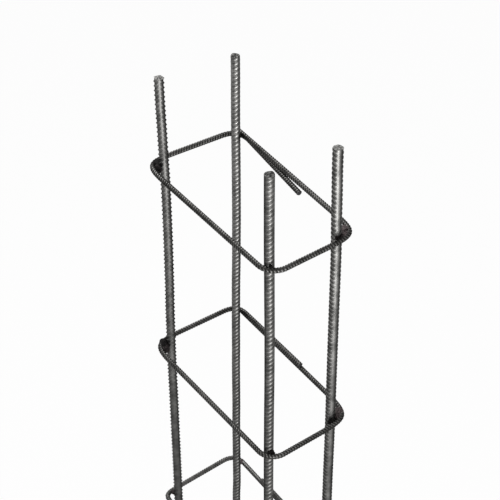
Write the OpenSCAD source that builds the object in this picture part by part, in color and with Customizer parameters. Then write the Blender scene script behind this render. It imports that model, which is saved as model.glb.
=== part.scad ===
// Welded rebar cage: four straight main bars inside rectangular closed stirrups.
// It stands upright on the cut ends of its bars. The origin is on the floor at the
// middle of the cage, X runs along the long side of the stirrups and Z along the bars.

/* [Main bars] */
// Length of the main bars, which is the height of the cage
bar_length = 1200; // [1150:5:1500]
// Diameter of a main bar
bar_d = 12; // [8:0.5:16]

/* [Stirrups] */
// Number of stirrups up the cage
stirrup_count = 4; // [1:1:4]
// Distance from one stirrup to the next
stirrup_spacing = 330; // [60:5:350]
// Height of the lowest stirrup above the lower ends of the bars
first_stirrup = 70; // [30:5:90]
// Outside length of a stirrup, along X
stirrup_length = 295; // [220:1:400]
// Outside width of a stirrup, along Y
stirrup_width = 149; // [110:1:300]
// Diameter of the stirrup wire
wire_d = 6; // [4:0.5:8]
// Inside radius of the stirrup bends
bend_r = 22; // [18:0.5:26]
// Overlap of the wire ends on the back side, on the stirrups with a free end on the left
left_lap = 145; // [60:1:200]
// Overlap on the stirrups with their free end on the right
right_lap = 190; // [60:1:200]
// How far the longer wire end runs on over the bend of the free end
over_run = 18; // [0:1:20]
// How much thinner the lapped ends are than the bends, on the diameter
end_thinning = 0.1; // [0.1:0.05:0.3]
// Clear gap between the two lapped wires
lap_gap = 0.4; // [0.2:0.1:2]
// How far a free end that lies under the other wire springs into the cage
end_spring = 6; // [0:0.5:8]

/* [Welds] */
// Clear gap between a main bar and the straight legs of a stirrup
bar_gap = 8; // [6:0.5:10]
// Diameter of the weld lump between a bar and the bend around it
weld_d = 11; // [9:0.5:13]

/* [Hidden] */
$fn = 96;
CORNERS = ["front_left", "front_right", "back_right", "back_left"];
STIRRUPS = [1 : stirrup_count];

// Half the size of the wire's centre line, and the radius of its bends
half_x = (stirrup_length - wire_d) / 2;
half_y = (stirrup_width - wire_d) / 2;
bend_axis_r = bend_r + wire_d / 2;
// Centres of the bends, and of the bars that stand inside them
bend_x = half_x - bend_axis_r;
bend_y = half_y - bend_axis_r;
bar_inset = wire_d / 2 + bar_gap + bar_d / 2;
bar_x = half_x - bar_inset;
bar_y = half_y - bar_inset;
// Straight lengths between the bends
back_leg = 2 * bend_x;
side_leg = 2 * bend_y;
// The longer lapped wire climbs to clear the other one's bend, and the other one falls
// by the rest, so that the two stay one above the other along the whole lap.
lap_rise = wire_d + lap_gap;
long_end_slope = atan(lap_rise / back_leg);
free_end_slope = long_end_slope;
// Length by which a lapped wire starts inside the end of its bend
end_root = 0.5;

function stirrup_z(i) = first_stirrup + (i - 1) * stirrup_spacing;
// Counted down from the top, two stirrups have their free end on the left and two on the
// right. It lies under the other wire on the first and the last of the four, and over it
// on the two between, where the other wire stops it from springing far.
function from_top(i) = stirrup_count - i;
function is_flipped(i) = from_top(i) % 4 > 1;
function is_end_on_top(i) = from_top(i) % 4 == 1 || from_top(i) % 4 == 2;
function lap(i) = is_flipped(i) ? right_lap : left_lap;
function spring(i) = is_end_on_top(i) ? end_spring / 4 : end_spring;
function side_x(c) = c == "front_left" || c == "back_left" ? -1 : 1;
function side_y(c) = c == "front_left" || c == "front_right" ? -1 : 1;

// A straight length of wire from the origin along +X
module wire(length, d = wire_d) {
    rotate([0, 90, 0])
        cylinder(d = d, h = length);
}

// A square bend that starts at the origin towards +X and turns left, then what follows it
module bend() {
    translate([0, bend_axis_r, 0])
        rotate([0, 0, -90])
            rotate_extrude(angle = 90)
                translate([bend_axis_r, 0])
                    circle(d = wire_d);
    translate([bend_axis_r, bend_axis_r, 0])
        rotate([0, 0, 90])
            children();
}

// A lapped end that leaves its bend a little up or down, and a little into the cage
module lapped_end(length, slope, closing) {
    rotate([0, slope, closing])
        translate([-end_root, 0, 0])
            wire(end_root + length, wire_d - end_thinning);
}

// Half of a stirrup's wire up to its last bend, from the middle of the front leg
module half_wire() {
    wire(bend_x);
    translate([bend_x, 0, 0])
        bend() {
            wire(side_leg);
            translate([side_leg, 0, 0])
                bend() children();
        }
}

// One bent wire, with its free end on the back left and under the longer wire
module bent_wire(lap, spring) {
    translate([0, -half_y, 0]) {
        half_wire()
            lapped_end(back_leg + over_run, -long_end_slope, 0);
        mirror([1, 0, 0])
            half_wire()
                lapped_end(lap, free_end_slope, atan(spring / lap));
    }
}

module stirrup(i) {
    color("dimgray")
        translate([0, 0, stirrup_z(i)])
            mirror([is_flipped(i) ? 1 : 0, 0, 0])
                mirror([0, 0, is_end_on_top(i) ? 1 : 0])
                    bent_wire(lap(i), spring(i));
}

module bar(c) {
    color("gray")
        translate([side_x(c) * bar_x, side_y(c) * bar_y, 0])
            cylinder(d = bar_d, h = bar_length);
}

// Lump of weld metal that fills the gap between a bar and the bend around it
module weld(i, c) {
    bar_reach = norm([bar_x - bend_x, bar_y - bend_y]);
    gap_middle = (bar_reach + bar_d / 2 + bend_r) / 2;
    color("black")
        difference() {
            translate([side_x(c) * bend_x, side_y(c) * bend_y, stirrup_z(i)])
                rotate([0, 90, atan2(side_y(c), side_x(c))])
                    translate([0, 0, gap_middle])
                        sphere(d = weld_d);
            bar(c);
            stirrup(i);
        }
}

for (c = CORNERS)
    bar(c);
for (i = STIRRUPS)
    stirrup(i);
for (i = STIRRUPS, c = CORNERS)
    weld(i, c);
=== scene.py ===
"""A welded rebar cage that stands on the cut ends of its four main bars.

The bars are hot-rolled ribbed steel, the stirrups are bent from ribbed wire, and lumps of
weld metal in each bend hold the wire to its bar.
"""
import math

import bpy
import numpy as np
from mathutils import Matrix, Vector


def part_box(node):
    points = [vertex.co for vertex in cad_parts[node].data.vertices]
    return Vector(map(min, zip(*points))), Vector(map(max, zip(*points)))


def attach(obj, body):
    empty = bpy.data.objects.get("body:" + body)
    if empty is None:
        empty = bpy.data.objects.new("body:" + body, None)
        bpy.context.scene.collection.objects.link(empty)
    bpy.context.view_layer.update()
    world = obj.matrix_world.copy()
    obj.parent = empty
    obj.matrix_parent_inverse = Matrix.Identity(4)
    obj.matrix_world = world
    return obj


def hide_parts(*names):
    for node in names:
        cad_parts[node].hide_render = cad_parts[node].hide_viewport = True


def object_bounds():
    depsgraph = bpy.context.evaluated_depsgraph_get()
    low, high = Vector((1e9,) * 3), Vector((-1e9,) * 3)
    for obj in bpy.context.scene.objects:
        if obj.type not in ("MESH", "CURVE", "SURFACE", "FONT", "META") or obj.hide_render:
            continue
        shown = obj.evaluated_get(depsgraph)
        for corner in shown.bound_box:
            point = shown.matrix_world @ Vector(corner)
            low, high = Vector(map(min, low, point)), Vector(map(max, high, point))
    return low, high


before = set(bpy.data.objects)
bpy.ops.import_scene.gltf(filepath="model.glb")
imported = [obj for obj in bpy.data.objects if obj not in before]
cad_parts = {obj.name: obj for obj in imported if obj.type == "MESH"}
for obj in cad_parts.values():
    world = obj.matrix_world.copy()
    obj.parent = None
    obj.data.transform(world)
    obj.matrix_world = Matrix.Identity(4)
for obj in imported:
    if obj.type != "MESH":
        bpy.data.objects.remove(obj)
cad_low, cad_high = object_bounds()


# ---- Main bars ------------------------------------------------------------------------
# Four 12 mm bars of hot-rolled steel. The last pass of the mill leaves two rows of
# crescent ribs with a plain seam between them, and each bar is sheared to length. None
# is quite straight: the welds on the stirrups hold each one a few millimetres off.

MM = 0.001
BAR_PITCH = 7.4 * MM  # from one rib to the next
BAR_ROWS = 2
BAR_RIB_WIDTH = 0.3  # half the width of a rib, as a share of the pitch
BAR_CORNERS = 44  # of each ring of the mesh
BAR_STEP = BAR_PITCH / 10  # from one ring of the mesh to the next
SWAY = np.array([0.559, 0.829])  # the way in which the bars are off their straight line
SWAY_HEIGHTS = np.array([0, 250, 450, 600, 700, 780, 860, 940, 1020, 1100, 1180]) * MM
SWAY_EASE = 50 * MM  # how far up and down each of those heights is felt
# Each bar, in millimetres, degrees and shares. Core radius and rib height; angle of the
# first seam, phase and slant of the ribs, plain share at the seams. How pale the seams, the
# ribs and the rest are, partly rubbed and partly painted highlight, how bare the cut ends
# are, and how wide the pale seams are. How much painted shade lies by the ribs and all over
# its lower part, and the angle of a strip of painted shade along one side. How much longer
# than its node it is, and its sway at each height.
BARS = {
    "front_left": dict(
        core=6.05, rib=1.35, seam=153, phase=0.0, slant=14, plain=0.25,
        seams_wear_highlight=0.36, ribs_wear_highlight=0.2, rest_worn=0.1, cut_bare=0.45, seam_reach=0.3,
        rib_shade=0.9, low_shade=0.32, dark_at=24, longer=3.7,
        sway=[0, -1, -1.6, -1.8, -2.2, -1.8, -0.4, 0.3, 0.4, -1.2, -2.6]),
    "front_right": dict(
        core=6.85, rib=0.9, seam=57, phase=0.3, slant=-10, plain=0.18,
        seams_wear_highlight=0.1, ribs_wear_highlight=0.9, rest_worn=0.1, cut_bare=0.1, seam_reach=0.3,
        rib_shade=0.7, low_shade=0.0, dark_at=270, longer=3.4,
        sway=[0, -0.7, -1.0, -1.1, -1.3, -1.1, -0.7, -0.8, -1.4, -2.0, -2.1]),
    "back_right": dict(
        core=6.35, rib=1.1, seam=160, phase=0.6, slant=-7, plain=0.40,
        seams_wear_highlight=0.7, ribs_wear_highlight=0.4, rest_worn=0.4, cut_bare=0.6, seam_reach=0.45,
        rib_shade=1.3, low_shade=0.0, dark_at=20, longer=-1.0,
        sway=[0, -2, -3.8, -3.8, -3.5, -3.8, -4.0, -4.1, -4.0, -5.4, -6.6]),
    "back_left": dict(
        core=6.3, rib=0.95, seam=66, phase=0.1, slant=-11, plain=0.18,
        seams_wear_highlight=0.1, ribs_wear_highlight=2.4, rest_worn=0.55, cut_bare=0.1, seam_reach=0.3,
        rib_shade=0.8, low_shade=0.0, dark_at=15, longer=-1.6,
        sway=[0, 0.8, 2.0, 2.6, 3.3, 4.0, 5.4, 6.2, 6.4, 6.3, 6.9]),
}
# Two heights, and a share at each: how much of the pale rubbing and painted highlight
# there is, most at the head as painted light that falls off downward, and how much of the
# painted shade of the lower part
HIGHLIGHT_UP = [0.6, 1.15], [0.25, 1.0]
SHADE_DOWN = [0.5, 0.85], [1, 0]
EDGE_SHADE, EDGE_SHADE_REACH = 0.9, 0.35  # how dark the strip of painted shade along one side is, and how wide
# Share of the radius, and depth below the cut, of the rings that close a sheared end
SHEARED = np.array([[0.985, 0.30], [0.93, 0.05], [0.70, 0.25], [0.40, 0.10], [0.15, 0.3]])
# Waves of the torn cut: depth, number round the bar, and shift by the phase of the ribs
TORN = [(0.8, 2, 9), (0.5, 5, 20)]


def skin(name, rings, marks):
    """A closed skin over rings of points, an array of rings x corners x 3. A face joins
    corners j and j + 1 of ring i to the same corners of ring i + 1, and a fan to the mean
    point of the first and of the last ring closes each end. Marks are numbers for each
    ring's corners, which the materials read by name."""
    count, around = rings.shape[:2]
    here = np.arange(around)
    after = (here + 1) % around
    base = np.arange(count - 1)[:, None] * around
    above = base + around
    quads = np.stack([base + here, base + after, above + after, above + here], -1)
    low, high = count * around, count * around + 1
    first = np.stack([np.full(around, low), after, here], -1)
    last = (count - 1) * around
    final = np.stack([np.full(around, high), last + here, last + after], -1)
    points = np.vstack([rings.reshape(-1, 3), rings[0].mean(0), rings[-1].mean(0)])
    mesh = bpy.data.meshes.new(name)
    faces = quads.reshape(-1, 4).tolist() + first.tolist() + final.tolist()
    mesh.from_pydata(points.tolist(), [], faces)
    mesh.polygons.foreach_set("use_smooth", np.ones(len(mesh.polygons), bool))
    for mark, values in marks.items():
        values = np.broadcast_to(values, (count, around))
        ends = [values[0].mean(), values[-1].mean()]
        layer = mesh.attributes.new(mark, "FLOAT", "POINT")
        layer.data.foreach_set("value", np.append(values.ravel(), ends).astype(np.float32))
    piece = bpy.data.objects.new(name, mesh)
    bpy.context.scene.collection.objects.link(piece)
    return piece


def ribs(turn, run, rows, pitch, slant, width, plain):
    """Height of rolled ribs, 0 to 1, at angle turn and length run. The angle is split into
    rows by plain seams. Across a row a rib follows the sine of its share of the row, less
    a plain margin at each seam, to a power that makes it blunt. Along the bar it is a
    squared parabola whose middle moves by slant times that share, one way in one row and
    the other way in the next. With it come a bell curve just above each rib, the painted
    shade of the rib's shadow, and one in the middle of each rib's length, nearly level,
    where it stands out most: a paler patch, partly rubbed and partly painted highlight."""
    blunt = 0.6
    shade_drop, shade_reach = 0.12, 0.2
    levelled, highlight_across, highlight_along = 0.9, 0.15, 0.25
    place = turn / (2 * np.pi) * rows
    row = np.floor(place)
    share = place - row
    way = 1 - 2 * (row % 2)
    across = np.clip((np.sin(np.pi * share) - plain) / (1 - plain), 0, 1) ** blunt
    middle = way * slant * (share - 0.5) + row % 2 * pitch / 2
    off = ((run - middle) / pitch + 0.5) % 1 - 0.5
    crest = across * np.clip(1 - (off / width) ** 2, 0, 1) ** 2
    # Painted shade: a dark line beside each rib, where its shadow falls
    grime = across * np.exp(-(((np.abs(off + shade_drop) - 0.5) / shade_reach) ** 2))
    # A paler patch in the middle of each rib: partly rubbed, partly painted highlight
    level = ((run - middle + levelled * way * slant * (share - 0.5)) / pitch + 0.5) % 1 - 0.5
    rubbed_highlight = np.exp(-(((share - 0.5) / highlight_across) ** 2) - (level / highlight_along) ** 2)
    return crest, grime, rubbed_highlight


def strip(turn, reach):
    """1 at angle 0, falling with the angle either way as a bell curve."""
    off = (turn + np.pi) % (2 * np.pi) - np.pi
    return np.exp(-((off / reach) ** 2))


def eased(at, knots, values, reach):
    """A smooth line through knots: the mean of their values, weighted by a bell curve of
    how far each knot is."""
    weight = np.exp(-(((at[:, None] - knots) / reach) ** 2))
    return (weight * values).sum(1) / weight.sum(1)


def weld_places():
    """The middle of each weld lump, by the name of its node."""
    names = [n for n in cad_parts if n.startswith("weld_")]
    return {n: np.array(sum(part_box(n), Vector()) / 2) for n in names}


def of_weld(table, node):
    """What a table holds for a weld: by its stirrup and corner, or else by its corner."""
    i, corner = node.split("_", 2)[1:]
    return table.get(f"{i}_{corner}", table[corner])


# How sooty the welds at each corner are, and the two that differ; and how far that soot
# reaches on a bar
SOOT = {
    "front_left": 1.6, "front_right": 0.15, "back_right": 0.5, "back_left": 0.4,
    "2_front_left": 0.1, "2_back_left": 0.1,
}
SOOT_ON_BARS = 6 * MM
WELDS = np.array(list(weld_places().values()))
SOOT_BY_WELD = np.array([of_weld(SOOT, node) for node in weld_places()])


def closeness(points, reach):
    """How sooty the sootiest weld left each point, up to 1: the weld's soot times a bell
    curve of the distance."""
    gap = np.linalg.norm(points[..., None, :] - WELDS, axis=-1)
    return np.minimum((SOOT_BY_WELD * np.exp(-((gap / reach) ** 2))).max(-1), 1)


def bar_line(corner, height):
    """Middle of a bar at each height: the middle of its node, plus its sway."""
    lo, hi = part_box("bar_" + corner)
    off = eased(height, SWAY_HEIGHTS, np.array(BARS[corner]["sway"]) * MM, SWAY_EASE)
    plan = np.array([(lo.x + hi.x) / 2, (lo.y + hi.y) / 2]) + off[:, None] * SWAY
    return np.column_stack([plan, height])


def ribbed_bar(corner):
    """A bar as rings up its height. The radius is the core's plus the ribs'. A few smaller
    rings close each cut end, and waves round the bar tear it, most of all halfway out."""
    shape = BARS[corner]
    lo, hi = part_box("bar_" + corner)
    foot, head = lo.z, hi.z + shape["longer"] * MM
    margin = SHEARED[0, 1] * MM * 1.5  # keeps the ribbed rings clear of those of the cut
    height = np.linspace(foot + margin, head - margin, round((head - foot) / BAR_STEP))
    corners = np.arange(BAR_CORNERS) * 2 * np.pi / BAR_CORNERS
    turn = (corners - math.radians(shape["seam"])) % (2 * np.pi)
    crest, grime, rubbed_highlight = ribs(
        turn[None], height[:, None] - shape["phase"] * BAR_PITCH, BAR_ROWS, BAR_PITCH,
        shape["slant"] * MM, BAR_RIB_WIDTH, shape["plain"])
    # Paler seams and rib patches, partly rubbed and partly painted highlight, fading down
    seams = strip(turn, shape["seam_reach"]) + strip(turn + np.pi, shape["seam_reach"])
    worn = np.maximum(shape["seams_wear_highlight"] * seams, shape["ribs_wear_highlight"] * rubbed_highlight)
    worn = np.maximum(worn, shape["rest_worn"]) * np.interp(height, *HIGHLIGHT_UP)[:, None]
    # Painted shade: a strip along one side of the bar, and the line beside each rib
    dark = EDGE_SHADE * strip(corners - math.radians(shape["dark_at"]), EDGE_SHADE_REACH)
    grime = np.maximum(shape["rib_shade"] * grime, dark)
    # Painted shade over the lower part, darker towards the bottom
    grime = np.maximum(grime, shape["low_shade"] * np.interp(height, *SHADE_DOWN)[:, None])
    radius = (shape["core"] + shape["rib"] * crest) * MM
    up = 0 * radius + height[:, None]
    body = np.stack([radius * np.cos(corners), radius * np.sin(corners), up], -1)
    body[..., :2] += bar_line(corner, height)[:, None, :2]

    def cut(ring, at, way):
        middle = np.array([*ring[:, :2].mean(0), 0])
        share = SHEARED[:, 0][:, None]
        torn = sum(
            deep * np.sin(number * turn + shape["phase"] * shift)
            for deep, number, shift in TORN)
        rings = middle + (ring - middle) * share[..., None]
        depth = SHEARED[:, 1][:, None] + torn * share * (1 - share) * 4
        rings[..., 2] = at - way * depth * MM
        return rings

    top, bottom = cut(body[-1], head, 1), cut(body[0], foot, -1)[::-1]
    rings = np.concatenate([bottom, body, top])
    bare = np.full((len(SHEARED), BAR_CORNERS), shape["cut_bare"])
    # At the cut ends the dark mark is the scale that is not bare; elsewhere painted shade
    marks = {
        "worn": np.concatenate([0 * bare, worn, 0 * bare]),
        "grime": np.concatenate([1 - bare, grime, 1 - bare]),
        "sheared": np.concatenate([bare, 0 * crest, bare]),
        "scorch": closeness(rings, SOOT_ON_BARS),
    }
    return skin("ribbed_bar_" + corner, rings, marks)


def links(material):
    """Clears a material's nodes, and gives back a function that adds a node, sets its
    plain inputs and joins the rest. Inputs go by name, or by number as i0, i1 and so on."""
    material.use_nodes = True
    tree = material.node_tree
    tree.nodes.clear()

    def add(kind, setting=None, **inputs):
        node = tree.nodes.new(kind)
        for key, value in (setting or {}).items():
            setattr(node, key, value)
        for key, value in inputs.items():
            by_number = key[0] == "i" and key[1:].isdigit()
            socket = node.inputs[int(key[1:]) if by_number else key.replace("_", " ")]
            if isinstance(value, bpy.types.NodeSocket):
                tree.links.new(value, socket)
            else:
                socket.default_value = value
        return node

    return add


def figure(add, operation, *values, clamp=False):
    """The result of a sum on one, two or three numbers."""
    inputs = {f"i{k}": value for k, value in enumerate(values)}
    setting = {"operation": operation, "use_clamp": clamp}
    return add("ShaderNodeMath", setting, **inputs).outputs[0]


def blend(add, share, under, over):
    """One colour over another, by a share."""
    return add("ShaderNodeMix", {"data_type": "RGBA"}, i0=share, i6=under, i7=over).outputs[2]


def noise(add, place, scale, detail, roughness=0.5):
    """Soft patches of 0 to 1, about as many to the metre as the scale says."""
    return add(
        "ShaderNodeTexNoise", Vector=place, Scale=scale, Detail=detail,
        Roughness=roughness).outputs["Fac"]


def ramp(add, share, ends, dark, pale):
    """A colour that runs from dark to pale as the share goes from one end to the other."""
    node = add("ShaderNodeValToRGB", Fac=share)
    for stop, position, colour in zip(node.color_ramp.elements, ends, (dark, pale)):
        stop.position, stop.color = position, (*colour, 1)
    return node.outputs["Color"]


def rolled_steel(name, dark, pale, rubbed_highlight, bare, rough):
    """Steel as it leaves the mill: a grey scale in soft patches, paler on the ribs and along
    the seams, partly rubbed and partly painted highlight, darkened by painted shade beside
    each rib, along one side and low down, and by dark scale on the cut ends, sooty beside a
    weld, and bare and rough where it was sheared."""
    grain_share, patch_ends = 0.5, (0.3, 0.72)
    # Strength and colour of the painted shade, and of the dark scale on the cut ends
    shade_and_scale_cover, shade_and_scale_colour = 0.85, (0.012, 0.012, 0.011, 1)
    soot_cover, soot_colour = 0.9, (0.01, 0.009, 0.009, 1)
    rough_by_tone, rough_by_cut, rough_by_soot = 0.25, 0.35, 0.3
    material = bpy.data.materials.new(name)
    add = links(material)
    place = add("ShaderNodeTexCoord").outputs["Object"]
    patches = noise(add, place, 70, 4, 0.6)
    grain = noise(add, place, 900, 3, 0.65)
    mixed = figure(add, "MULTIPLY_ADD", grain, grain_share, -grain_share / 2)
    tone = figure(add, "ADD", patches, mixed)
    scale = ramp(add, tone, patch_ends, dark, pale)
    worn, grime, sheared, scorch = [
        add("ShaderNodeAttribute", {"attribute_name": mark}).outputs["Fac"]
        for mark in ("worn", "grime", "sheared", "scorch")]

    def product(a, b):
        return figure(add, "MULTIPLY", a, b, clamp=True)

    # Paler where rubbed and where a highlight is painted; then painted shade and end scale
    colour = blend(add, product(worn, tone), scale, (*rubbed_highlight, 1))
    colour = blend(add, product(grime, shade_and_scale_cover), colour, shade_and_scale_colour)
    colour = blend(add, sheared, colour, (*bare, 1))
    colour = blend(add, product(scorch, soot_cover), colour, soot_colour)
    dull = figure(add, "MULTIPLY_ADD", tone, rough_by_tone, rough)
    dull = figure(add, "MULTIPLY_ADD", sheared, rough_by_cut, dull)
    dull = figure(add, "MULTIPLY_ADD", scorch, rough_by_soot, dull, clamp=True)
    bump = add("ShaderNodeBump", Strength=0.35, Distance=0.4 * MM, Height=grain)
    steel = add(
        "ShaderNodeBsdfPrincipled", Base_Color=colour, Roughness=dull, Metallic=0.85,
        Normal=bump.outputs["Normal"], Specular_Tint=(0.3, 0.3, 0.3, 1))
    add("ShaderNodeOutputMaterial", Surface=steel.outputs[0])
    return material


bar_steel = rolled_steel(
    "bar_steel", dark=(0.05, 0.05, 0.048), pale=(0.15, 0.148, 0.143),
    rubbed_highlight=(0.5, 0.495, 0.48), bare=(0.25, 0.248, 0.24), rough=0.26)
for corner in BARS:
    bar = ribbed_bar(corner)
    bar.data.materials.append(bar_steel)
    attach(bar, "root")
    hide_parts("bar_" + corner)


# ---- Stirrups -------------------------------------------------------------------------
# Four rectangles of 6 mm ribbed wire, each bent from one length. The two ends are not
# joined: they lie one above the other along the back side, and the one that was bent
# last springs free. A stirrup is held only by the welds in its bends.

WIRE_R = 3 * MM  # of its node, which is plain
WIRE_CORE = 3.5 * MM  # radius between the ribs
WIRE_RIB = 0.6 * MM
WIRE_ROWS = 3
WIRE_PITCH = 4.3 * MM
WIRE_SLANT = 2.6 * MM
WIRE_RIB_WIDTH = 0.36  # half the width of a rib, as a share of the pitch
WIRE_PLAIN = 0.18  # plain share of a row at the seams
WIRE_CORNERS = 20  # of each ring of the mesh
WIRE_STEP = WIRE_PITCH / 7  # from one ring of the mesh to the next
TWIST, TWIST_APART = 4.0, 0.9  # radians along a metre, and from one stirrup to the next
WIRE_CUT = np.array([0.94, 0.6, 0.25])  # share of the radius of the rings of a cut end
WIRE_CUT_HIGH = 0.2  # how far those rings stand out, in millimetres
OVER_RUN = 18 * MM  # from the free end's bend to the end of the longer wire
LAP_RISE = 6.8 * MM  # from one lapped wire to the other
SOOT_ON_WIRE = 13 * MM
# Each stirrup, in millimetres and radians. Its free end: side (1 left, -1 right), whether
# it lies under the other wire or over it (1, -1), length, how far it springs in and how
# far it drops, and how far to the side of that bend the other wire ends. How it sits on
# the bars: shift in X, Y and Z, turn, and slope along X and Y. How far out of square its
# back right and back left corners are, in X and Y, and the radius of its bends, from the
# back right by the front to the back left. How pale its ribs and the rest are, partly
# rubbed and partly painted highlight.
STIRRUPS = {
    4: dict(
        side=1, under=1, lap=140, spring=8.8, drop=0.0, aside=5.1,
        shift=(-1.7, -0.2, 0.7), turn=0.0317, slope=(-0.0064, -0.0076),
        askew=(-3.3, -0.5, 7.2, 7.0), bends=(28, 25, 25.6, 22), worn=(1.1, 0.0)),
    3: dict(
        side=1, under=-1, lap=142, spring=0.6, drop=0.2, aside=-2.2,
        shift=(0.4, -3.0, 1.0), turn=0.0393, slope=(-0.0262, 0.0213),
        askew=(-0.8, 0.9, 5.5, 7.8), bends=(31, 25, 26.8, 22), worn=(0.85, 0.0)),
    2: dict(
        side=-1, under=-1, lap=190, spring=1.0, drop=0.0, aside=0.0,
        shift=(0.2, 0.6, -0.7), turn=0.0179, slope=(-0.0007, 0.0252),
        askew=(0, 0, -5.7, -0.2), bends=(27, 25, 14.5, 21), worn=(0.3, 0.45)),
    1: dict(
        side=-1, under=1, lap=190, spring=6.0, drop=0.0, aside=0.0,
        shift=(0.8, -0.6, 0.0), turn=-0.0100, slope=(0.0050, -0.0060),
        askew=(2.0, 0, -2.0, 1.0), bends=(25, 27, 26, 24), worn=(0.6, 0.3)),
}
# How much sharper than a circle the bends are in their middle, in the same order
SHARP = (3.2, 1, 3.0, 1.6)


def rounded(before, corner, after, radius, sharp, steps=60):
    """A bend between two legs that meet at a corner: a quadratic curve that touches both
    legs, with a weight on the corner. At sharp 1 it is a circle. Above 1 it comes as near
    to the corner as that circle, but starts farther out and is tighter in its middle."""
    back, ahead = before - corner, after - corner
    back, ahead = back / np.linalg.norm(back), ahead / np.linalg.norm(ahead)
    half = math.acos(np.clip(back @ ahead, -1, 1)) / 2
    weight = sharp * math.sin(half)
    reach = radius * (1 / math.sin(half) - 1) * (1 + weight) / math.cos(half)
    t = np.linspace(0, 1, steps)[:, None]
    total = (1 - t) ** 2 + 2 * weight * t * (1 - t) + t ** 2
    return corner + reach * ((1 - t) ** 2 * back + t ** 2 * ahead) / total


def stirrup_line(i):
    """The wire's centre line: the longer end, the four bends in order round the cage, and
    the free end, resampled at even steps of its own length. Both ends are measured from a
    point one bend radius inside the free end's corner. The longer end climbs by the rise
    of the lap on its way along the back side, and runs on past that point. The free end
    falls by the same slope and turns a little into the cage. Where the free end lies over
    the other the line is turned upside down, and then it is turned, sloped and shifted."""
    shape = STIRRUPS[i]
    lo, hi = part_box(f"stirrup_{i}")
    half_x, half_y = (hi.x - lo.x) / 2 - WIRE_R, (hi.y - lo.y) / 2 - WIRE_R
    off = np.array(shape["askew"]) * MM
    radius = np.array(shape["bends"]) * MM
    right, front_right, front_left, left = np.array([
        [half_x + off[0], half_y + off[1], 0], [half_x, -half_y, 0],
        [-half_x, -half_y, 0], [-half_x + off[2], half_y + off[3], 0]])
    legs = [
        (left, right, front_right), (right, front_right, front_left),
        (front_right, front_left, left), (front_left, left, right)]
    bends = [rounded(*leg, r, sharp) for leg, r, sharp in zip(legs, radius, SHARP)]
    if shape["side"] < 0:
        bends = [bend[::-1] for bend in bends[::-1]]
    start, end = bends[0][0], bends[-1][-1]
    across = np.linalg.norm(end - start)
    along = (start - end) / across
    climb = np.array([0, 0, LAP_RISE / across])
    near = left + along * radius[3] if shape["side"] > 0 else right + along * radius[0]
    aside = np.array([0, shape["aside"] * MM, 0])
    tail = near - along * OVER_RUN + climb * (across + OVER_RUN) - aside
    sprung = np.array([0, shape["spring"], shape["drop"] * shape["under"]]) * MM
    tip = near + (along - climb) * shape["lap"] * MM - sprung
    line = np.vstack([tail, *bends, tip])
    line[:, 2] *= shape["under"]
    cos, sin = math.cos(shape["turn"]), math.sin(shape["turn"])
    plan = line[:, :2] @ np.array([[cos, sin], [-sin, cos]])
    (shift_x, shift_y, shift_z), (slope_x, slope_y) = shape["shift"], shape["slope"]
    low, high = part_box(f"weld_{i}_front_left")
    height = (
        line[:, 2] + slope_x * plan[:, 0] + slope_y * plan[:, 1]
        + (low.z + high.z) / 2 + shift_z * MM)
    line = np.column_stack([plan + np.array([shift_x, shift_y]) * MM, height])
    run = np.append(0, np.cumsum(np.linalg.norm(np.diff(line, axis=0), axis=1)))
    even = np.linspace(0, run[-1], round(run[-1] / WIRE_STEP))
    return np.column_stack([np.interp(even, run, line[:, k]) for k in range(3)]), even


def ribbed_wire(i):
    """A wire as rings along its centre line, each square to the line, with its first corner
    level. Its radius is the core's plus three rows of ribs, which turn slowly as they go.
    Three smaller rings close each cut end."""
    line, run = stirrup_line(i)
    ahead = np.gradient(line, axis=0)
    ahead /= np.linalg.norm(ahead, axis=1)[:, None]
    side = np.cross([0, 0, 1], ahead)
    side /= np.linalg.norm(side, axis=1)[:, None]
    up = np.cross(ahead, side)
    corners = np.arange(WIRE_CORNERS) * 2 * np.pi / WIRE_CORNERS
    turn = (corners[None] + (TWIST_APART * i + TWIST * run[:, None])) % (2 * np.pi)
    crest, grime, _ = ribs(
        turn, run[:, None], WIRE_ROWS, WIRE_PITCH, WIRE_SLANT, WIRE_RIB_WIDTH, WIRE_PLAIN)
    radius = WIRE_CORE + WIRE_RIB * crest
    level, upright = np.cos(corners)[None, :, None], np.sin(corners)[None, :, None]
    around = level * side[:, None] + upright * up[:, None]
    body = line[:, None] + radius[..., None] * around
    share = WIRE_CUT[:, None, None]
    head = line[-1] + (body[-1] - line[-1]) * share + ahead[-1] * WIRE_CUT_HIGH * MM
    tail = line[0] + (body[0] - line[0]) * share - ahead[0] * WIRE_CUT_HIGH * MM
    rings = np.concatenate([tail[::-1], body, head])
    ribs_wear_highlight, rest_worn = STIRRUPS[i]["worn"]
    pad = np.zeros((len(WIRE_CUT), WIRE_CORNERS))
    # Pale rib crests, partly rubbed and partly painted highlight; painted shade by each rib
    marks = {
        "worn": np.concatenate([pad, ribs_wear_highlight * crest + rest_worn, pad]),
        "grime": np.concatenate([pad, grime, pad]),
        "sheared": np.concatenate([pad + 1, 0 * crest, pad + 1]),
        "scorch": closeness(rings, SOOT_ON_WIRE),
    }
    return skin(f"bent_wire_{i}", rings, marks)


wire_steel = rolled_steel(
    "wire_steel", dark=(0.014, 0.014, 0.013), pale=(0.045, 0.044, 0.042),
    rubbed_highlight=(0.26, 0.255, 0.247), bare=(0.05, 0.05, 0.05), rough=0.24)
for i in STIRRUPS:
    wire = ribbed_wire(i)
    wire.data.materials.append(wire_steel)
    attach(wire, "root")
    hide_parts(f"stirrup_{i}")


# ---- Welds ----------------------------------------------------------------------------
# Tacks of weld metal in each bend, run in from above between the bar and the wire. They
# set as lumps with sagging sides and a crust of black slag.

LUMP_RINGS = 28
LUMP_CORNERS = 36
LUMP_WAVES, WAVE_PACE, WAVE_HEIGHT = 7, 2.2, 0.07  # how many, how fast and how high
LUMP_SIZES = 0.95, 1.05  # least and most that chance makes of a lump's size
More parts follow.
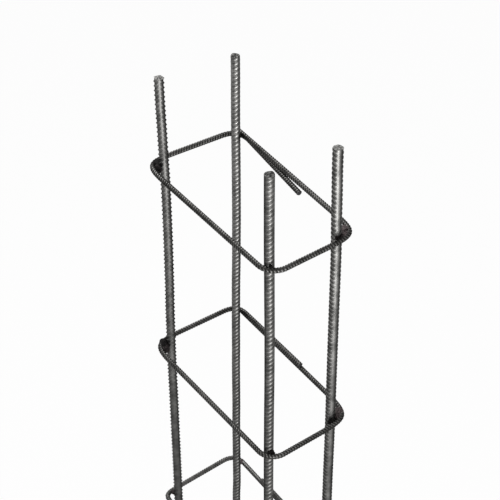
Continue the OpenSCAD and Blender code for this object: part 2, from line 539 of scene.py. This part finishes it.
# Lumps at each corner, and at the corners that differ: way from the bar in degrees; then
# in millimetres its distance from the bar's middle, its height over the wire, and its half
# size outwards, along the bend and up; and how brown it is
LUMPS = {
    "front_left": [(250, 9.8, 0.0, 5.2, 12.5, 6.5, 0.0), (286, 12.2, 0.0, 4.6, 6.0, 4.6, 0.2)],
    "front_right": [(340, 8.4, 3.2, 2.8, 2.7, 3.0, 0.0)],
    "back_right": [
        (62, 10.4, 0.0, 5.5, 9.5, 5.0, 1.0), (102, 14.2, 0.8, 7.5, 7.0, 5.0, 1.0),
        (338, 7.4, 0.6, 2.0, 4.5, 2.3, 0.2)],
    "back_left": [(130, 8.4, -1.0, 3.6, 4.2, 3.6, 0.5)],
    "3_front_left": [
        (256, 10.8, 0.5, 6.6, 11.0, 6.8, 0.0), (290, 14.2, 0.0, 6.6, 8.5, 5.5, 0.2)],
    "3_front_right": [(348, 8.8, 1.5, 3.8, 5.5, 4.2, 0.0)],
    "3_back_right": [
        (62, 10.8, 0.0, 5.5, 9.0, 5.0, 0.6), (92, 15.0, 0.5, 7.0, 6.5, 4.5, 0.9),
        (340, 10.2, -0.6, 3.4, 7.5, 3.8, 0.0)],
    "2_front_left": [(190, 9.8, 0.0, 4.6, 4.5, 4.0, 0.5)],
    "2_back_left": [
        (130, 8.4, -1.0, 3.6, 4.2, 3.6, 0.5), (108, 12.5, 0.0, 4.6, 4.6, 4.0, 0.9)],
}


def weld_lump(piece, node, place, chance, way, far, rise, outward, aside, upward, brown):
    """A lump from pole to pole along the line from the bar to the bend, at the height of
    the nearest point of the wire. Its radius is an ellipsoid's, times one plus a few waves
    of random direction, as wide as the lump."""
    i, corner = node.split("_", 2)[1:]
    bar = bar_line(corner, np.array([place[2]]))[0]
    out = np.array([math.cos(math.radians(way)), math.sin(math.radians(way)), 0])
    middle = bar + out * far * MM
    line, _ = stirrup_line(int(i))
    gap = np.linalg.norm(line[:, :2] - middle[:2], axis=1) + abs(line[:, 2] - place[2])
    middle[2] = line[gap.argmin(), 2] + rise * MM
    along = np.array([-out[1], out[0], 0])
    down = np.linspace(0, np.pi, LUMP_RINGS + 2)[1:-1][:, None]
    about = (np.arange(LUMP_CORNERS) * 2 * np.pi / LUMP_CORNERS)[None]
    ball = np.stack([
        np.cos(down) + 0 * about,
        np.sin(down) * np.cos(about),
        np.sin(down) * np.sin(about)], -1)
    waves = chance.normal(size=(LUMP_WAVES, 3)) * WAVE_PACE
    shift = chance.uniform(0, 2 * np.pi, LUMP_WAVES)
    swell = 1 + WAVE_HEIGHT * np.sin(ball @ waves.T + shift).sum(-1)
    half = np.array([outward, aside, upward]) * MM * chance.uniform(*LUMP_SIZES, 3)
    local = ball * half * swell[..., None]
    up = np.array([0, 0, 1.0])
    rings = middle + local[..., :1] * out + local[..., 1:2] * along + local[..., 2:] * up
    return skin(piece, rings[::-1], {"brown": brown})


def slag_steel(name):
    """Weld metal under slag: matt black, or a dull speckled brown where the slag is thin."""
    patch_ends = 0.38, 0.66
    black = (0.003, 0.0025, 0.0025), (0.014, 0.0125, 0.012)
    thin = (0.042, 0.034, 0.034), (0.155, 0.128, 0.129)
    most_rough, rough_by_patch = 0.95, -0.3
    material = bpy.data.materials.new(name)
    add = links(material)
    place = add("ShaderNodeTexCoord").outputs["Object"]
    patches = noise(add, place, 420, 4)
    pits = add("ShaderNodeTexVoronoi", Vector=place, Scale=700.0).outputs["Distance"]
    brown = add("ShaderNodeAttribute", {"attribute_name": "brown"}).outputs["Fac"]
    crusts = [ramp(add, patches, patch_ends, *shades) for shades in (black, thin)]
    colour = blend(add, brown, *crusts)
    dull = figure(add, "MULTIPLY_ADD", patches, rough_by_patch, most_rough)
    bump = add("ShaderNodeBump", Strength=0.6, Distance=0.6 * MM, Height=pits)
    metal = add(
        "ShaderNodeBsdfPrincipled", Base_Color=colour, Roughness=dull, Metallic=0.35,
        Normal=bump.outputs["Normal"], Specular_IOR_Level=0.12)
    add("ShaderNodeOutputMaterial", Surface=metal.outputs[0])
    return material


weld_metal = slag_steel("weld_metal")
chance = np.random.default_rng(12)
for name, place in sorted(weld_places().items()):
    for k, shape in enumerate(of_weld(LUMPS, name), 1):
        piece = f"{name.replace('weld', 'tack')}_{k}"
        lump = weld_lump(piece, name, place, chance, *shape)
        lump.data.materials.append(weld_metal)
        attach(lump, "root")
        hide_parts(name)


# ---- Floor, light and camera ----------------------------------------------------------
# A plain pale studio floor that runs into a white background, a tall soft lamp in front
# of the cage and below the camera, a square one high behind its left, and a weak light
# all round.

SURROUND = 0.12  # strength of the light all round
FLOOR_HALF = 12
FLOOR_WHITE = 0.97  # how much of the floor's look is plain white


def seen_share(add):
    """1 for the rays that see or mirror the background, and 0 for those that light."""
    rays = add("ShaderNodeLightPath").outputs
    first = figure(add, "MAXIMUM", rays["Is Camera Ray"], rays["Is Glossy Ray"])
    return figure(add, "MAXIMUM", first, rays["Is Transmission Ray"])


world = bpy.data.worlds.new("studio")
bpy.context.scene.world = world
add = links(world)
tone = blend(add, seen_share(add), (SURROUND, SURROUND, SURROUND, 1), (1, 1, 1, 1))
add("ShaderNodeOutputWorld", Surface=add("ShaderNodeBackground", Color=tone).outputs[0])

floor_mesh = bpy.data.meshes.new("studio_floor")
floor_mesh.from_pydata([
    (-FLOOR_HALF, -FLOOR_HALF, 0), (FLOOR_HALF, -FLOOR_HALF, 0),
    (FLOOR_HALF, FLOOR_HALF, 0), (-FLOOR_HALF, FLOOR_HALF, 0)], [], [(0, 1, 2, 3)])
floor = bpy.data.objects.new("studio_floor", floor_mesh)
bpy.context.scene.collection.objects.link(floor)
paper = bpy.data.materials.new("pale_paper")
add = links(paper)
matt = add("ShaderNodeBsdfDiffuse", Color=(0.85, 0.85, 0.85, 1)).outputs[0]
glow = add("ShaderNodeEmission", Color=(1, 1, 1, 1), Strength=1.0).outputs[0]
share = figure(add, "MULTIPLY", seen_share(add), FLOOR_WHITE)
sheet = add("ShaderNodeMixShader", i0=share, i1=matt, i2=glow).outputs[0]
add("ShaderNodeOutputMaterial", Surface=sheet)
floor_mesh.materials.append(paper)


def soft_lamp(name, place, aim, width, height, power):
    """An oblong lamp at a place, turned to face a point."""
    data = bpy.data.lights.new(name, "AREA")
    data.shape, data.size, data.size_y, data.energy = "RECTANGLE", width, height, power
    lamp = bpy.data.objects.new(name, data)
    lamp.location = place
    lamp.rotation_euler = (Vector(aim) - Vector(place)).to_track_quat("-Z", "Y").to_euler()
    bpy.context.scene.collection.objects.link(lamp)


head = Vector(((cad_low.x + cad_high.x) / 2, (cad_low.y + cad_high.y) / 2, cad_high.z))
soft_lamp(
    "key", head + Vector((1.11, -0.45, -0.45)), head - Vector((0, 0, 0.4)),
    width=0.6, height=1.1, power=16)
soft_lamp(
    "back", head + Vector((-0.98, 0.1, 0.75)), head - Vector((0, 0, 0.35)),
    width=0.9, height=0.9, power=20)

CAMERA_FROM_HEAD = Vector((1.4442, -0.9679, 1.1992))
CAMERA_AZIMUTH, CAMERA_ELEVATION, CAMERA_ROLL = 146.18, -39.362, 0.26
CAMERA_LENS, CAMERA_SENSOR = 118.84, 36
camera = bpy.data.objects.new("camera", bpy.data.cameras.new("camera"))
camera.data.lens, camera.data.sensor_width = CAMERA_LENS, CAMERA_SENSOR
azimuth, elevation = math.radians(CAMERA_AZIMUTH), math.radians(CAMERA_ELEVATION)
aim = Vector((
    math.cos(azimuth) * math.cos(elevation), math.sin(azimuth) * math.cos(elevation),
    math.sin(elevation)))
level = aim.cross(Vector((0, 0, 1))).normalized()
right = Matrix.Rotation(math.radians(CAMERA_ROLL), 3, aim) @ level
facing = Matrix((right, right.cross(aim), -aim)).transposed().to_4x4()
camera.matrix_world = Matrix.Translation(head + CAMERA_FROM_HEAD) @ facing
bpy.context.scene.collection.objects.link(camera)
bpy.context.scene.camera = camera
bpy.context.scene.view_settings.view_transform = "Standard"
